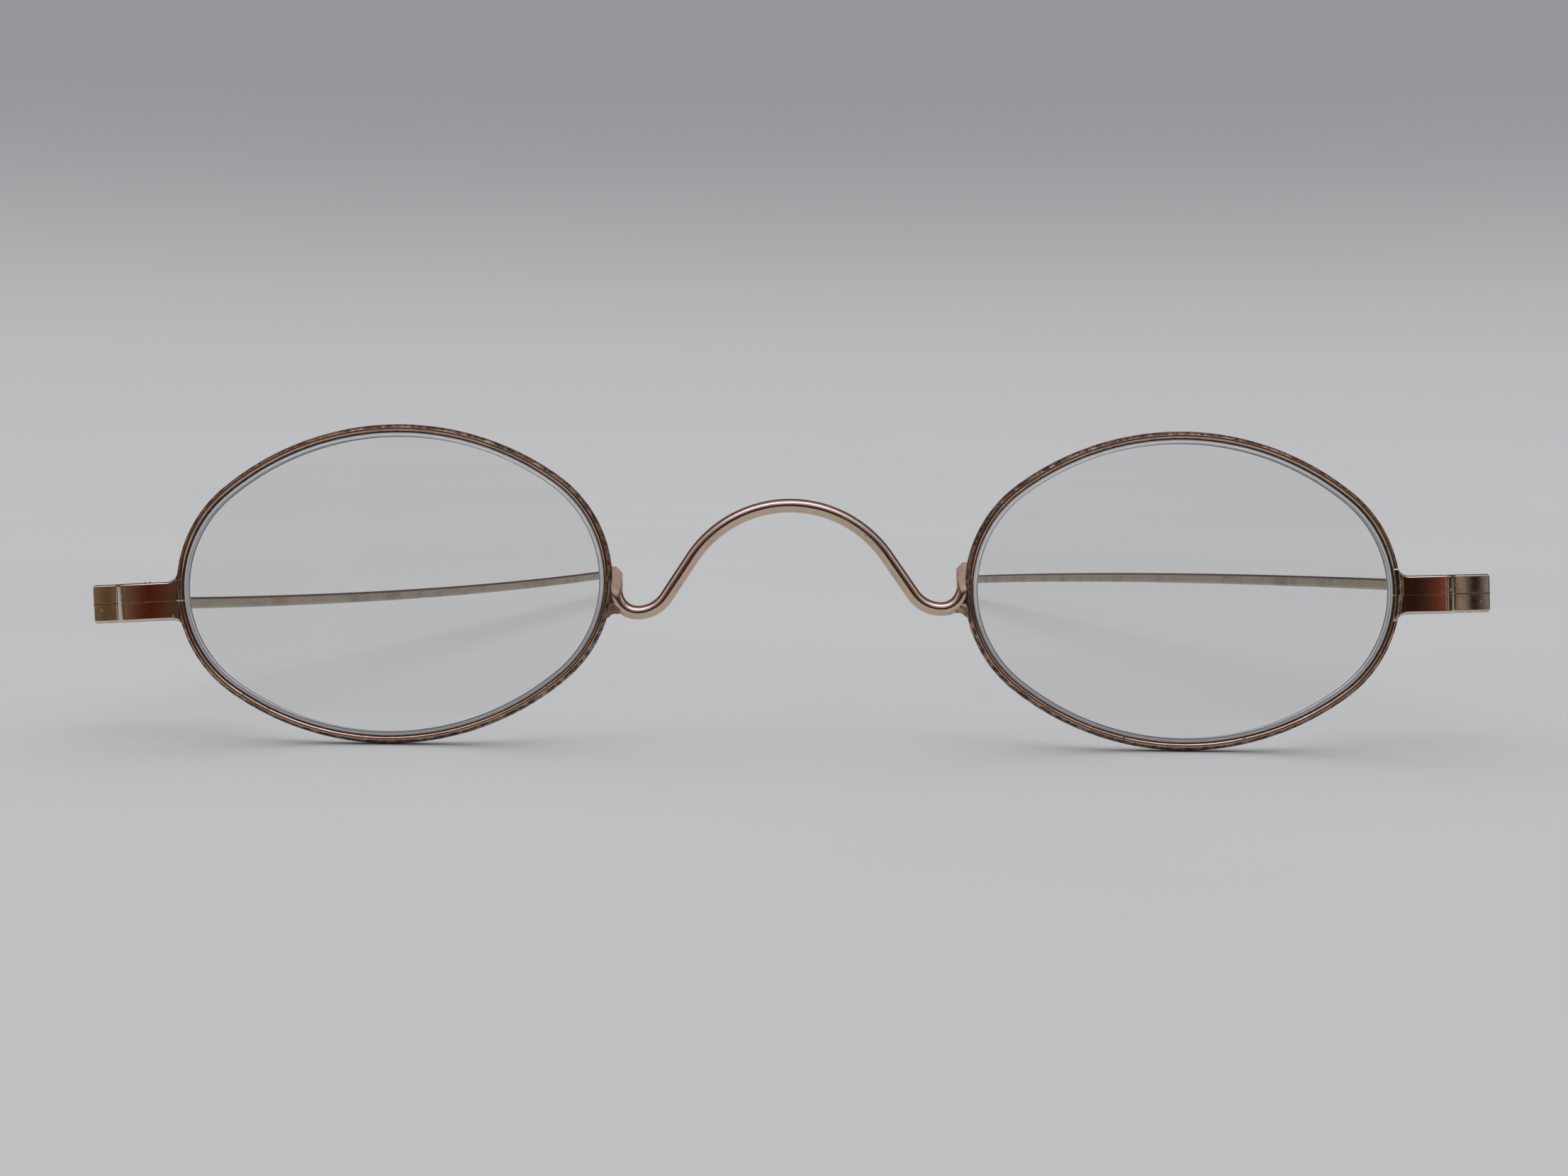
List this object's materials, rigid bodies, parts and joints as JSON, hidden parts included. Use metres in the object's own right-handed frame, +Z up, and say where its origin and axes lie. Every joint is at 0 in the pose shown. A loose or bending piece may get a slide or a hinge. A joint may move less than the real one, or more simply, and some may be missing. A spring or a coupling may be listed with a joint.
{
  "type": "wire rim spectacles",
  "caption": "Antique wire-rimmed spectacles with oval lenses, a humped wire bridge, split end pieces and long hinged temples.",
  "frame": {"origin": "on the table, under the middle of the whole object", "axes": "+X to the right as seen from the front, +Y from the front back to the temple tips, +Z up"},
  "size_m": [0.116, 0.1447, 0.0263],
  "materials": {
    "gilt_wire": "polished rose-gold wire, worn, with fine pits and dark grime in the seams",
    "gilt_strip": "polished rose-gold strip with softened edges and brown spots",
    "gilt_arm": "drawn wire, satin, a little dulled",
    "dark_solder": "old solder, dull brown, with grime",
    "screw_steel": "steel screw, worn slot",
    "clear_glass": "clear polished glass with a ground bevel"
  },
  "bodies": {
    "front": {"bridge": "gilt_wire", "left_rim": "gilt_wire", "right_rim": "gilt_wire", "left_lens": "clear_glass", "right_lens": "clear_glass", "left_bridge_solder": "dark_solder", "right_bridge_solder": "dark_solder", "left_end_piece_upper": "gilt_strip", "left_end_piece_lower": "gilt_strip", "right_end_piece_upper": "gilt_strip", "right_end_piece_lower": "gilt_strip", "left_joint_screw": "screw_steel", "right_joint_screw": "screw_steel"},
    "left_arm": {"left_temple_joint": "gilt_strip", "left_temple": "gilt_arm"},
    "right_arm": {"right_temple_joint": "gilt_strip", "right_temple": "gilt_arm"}
  },
  "joints": [
    {"name": "left_fold", "type": "hinge", "parent": "front", "child": "left_arm", "pos_m": [-0.05399, -0.06782, 0.01116], "axis": [0.0558, -0.0818, -0.9951], "range_deg": [0, 78]},
    {"name": "right_fold", "type": "hinge", "parent": "front", "child": "right_arm", "pos_m": [0.05401, -0.06768, 0.01286], "axis": [-0.0523, 0.0818, 0.9953], "range_deg": [0, 76]}
  ]
}
